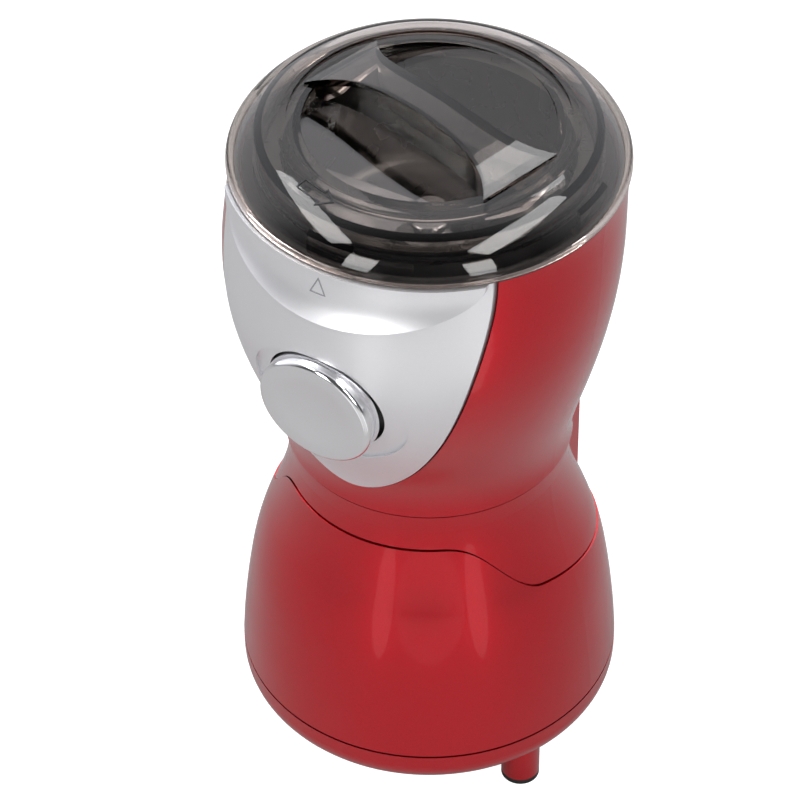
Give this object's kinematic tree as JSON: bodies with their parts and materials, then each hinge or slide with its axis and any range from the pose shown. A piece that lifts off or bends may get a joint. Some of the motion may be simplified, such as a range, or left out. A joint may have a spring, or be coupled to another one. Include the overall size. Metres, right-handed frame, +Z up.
{
  "type": "electric coffee grinder",
  "caption": "Red electric blade coffee grinder with a smoked twist-lock lid, silver shield panel and large round push button on short legs.",
  "frame": {"origin": "on the worktop plane under the motor axis, in the middle of the foot pads", "axes": "+Z up along the motor axis, -Y towards the button side, +X to the right as seen from the front"},
  "size_m": [0.1006, 0.1068, 0.1998],
  "materials": {
    "red_paint": "metallic red lacquer",
    "silver_paint": "satin silver",
    "silver_chrome": "bright plated",
    "smoked_clear": "smoked clear",
    "black_rubber": "matt",
    "black_plastic": "matt",
    "white_plastic": "satin",
    "yellow_plastic": "satin",
    "steel": "brushed",
    "die_cast": "as cast",
    "bronze": "sintered",
    "core_steel": "laminated",
    "copper": "enamelled wire",
    "carbon": "carbon"
  },
  "bodies": {
    "housing": {"upper_housing": "red_paint", "neck_shell": "red_paint", "base_skirt": "red_paint", "bottom_cover": "red_paint", "front_panel": "silver_paint", "foot_front_right": "black_rubber", "foot_rear": "black_rubber", "foot_front_left": "black_rubber", "cover_screws": "steel", "seam_screws": "steel", "cord_grommet": "black_rubber", "cord_clamp": "black_plastic", "clamp_screws": "steel", "suppressor_capacitor": "yellow_plastic", "power_switch": "black_plastic", "switch_bracket": "black_plastic", "bracket_screws": "steel", "bowl_collar": "black_plastic", "grinding_bowl": "steel", "shaft_seal": "black_rubber", "interlock_switch": "black_plastic", "motor_damper": "black_rubber", "motor_upper_bracket": "die_cast", "motor_lower_bracket": "die_cast", "upper_bearing": "bronze", "lower_bearing": "bronze", "motor_screws": "steel", "motor_bolts": "steel", "field_coil_front": "copper", "field_coil_rear": "copper", "stator_core": "core_steel", "carbon_brush_front": "carbon", "carbon_brush_rear": "carbon", "brush_holder_front": "bronze", "brush_holder_rear": "bronze", "brush_spring_front": "steel", "brush_spring_rear": "steel", "button_spring": "steel"},
    "lid_seal": {"lid_seal": "black_rubber"},
    "lid": {"lid": "smoked_clear"},
    "interlock_pin": {"interlock_pin": "white_plastic"},
    "power_button": {"power_button": "silver_chrome", "button_clip": "steel"},
    "switch_plunger": {"switch_plunger": "white_plastic"},
    "rotor": {"motor_shaft": "steel", "blade_hub": "black_plastic", "blade": "steel", "blade_nut": "steel", "armature_core": "core_steel", "armature_winding": "copper", "commutator": "copper", "cooling_fan": "black_plastic"}
  },
  "joints": [
    {"name": "lid_lift", "type": "slide", "parent": "housing", "child": "lid_seal", "axis": [0, 0, 1], "range_m": [0, 0.06]},
    {"name": "lid_twist", "type": "hinge", "parent": "lid_seal", "child": "lid", "pos_m": [0, 0, 0.189], "axis": [0, 0, 1], "range_deg": [0, 15]},
    {"name": "interlock_press", "type": "slide", "parent": "housing", "child": "interlock_pin", "axis": [0, 0, -1], "range_m": [0, 0.0016]},
    {"name": "button_press", "type": "slide", "parent": "housing", "child": "power_button", "axis": [0, 0.9962, 0.0872], "range_m": [0, 0.003], "stiffness_N_per_m": 600, "deforming": ["button_spring"]},
    {"name": "plunger_press", "type": "slide", "parent": "housing", "child": "switch_plunger", "axis": [0, 0.9962, 0.0872], "range_m": [0, 0.003]},
    {"name": "blade_spin", "type": "hinge", "parent": "housing", "child": "rotor", "pos_m": [0, 0, 0.1], "axis": [0, 0, 1], "continuous": true}
  ],
  "couplings": [
    {"joint": "interlock_press", "follows": "lid_twist", "m_per_rad": 0.0061116},
    {"joint": "plunger_press", "follows": "button_press", "ratio": 1}
  ]
}
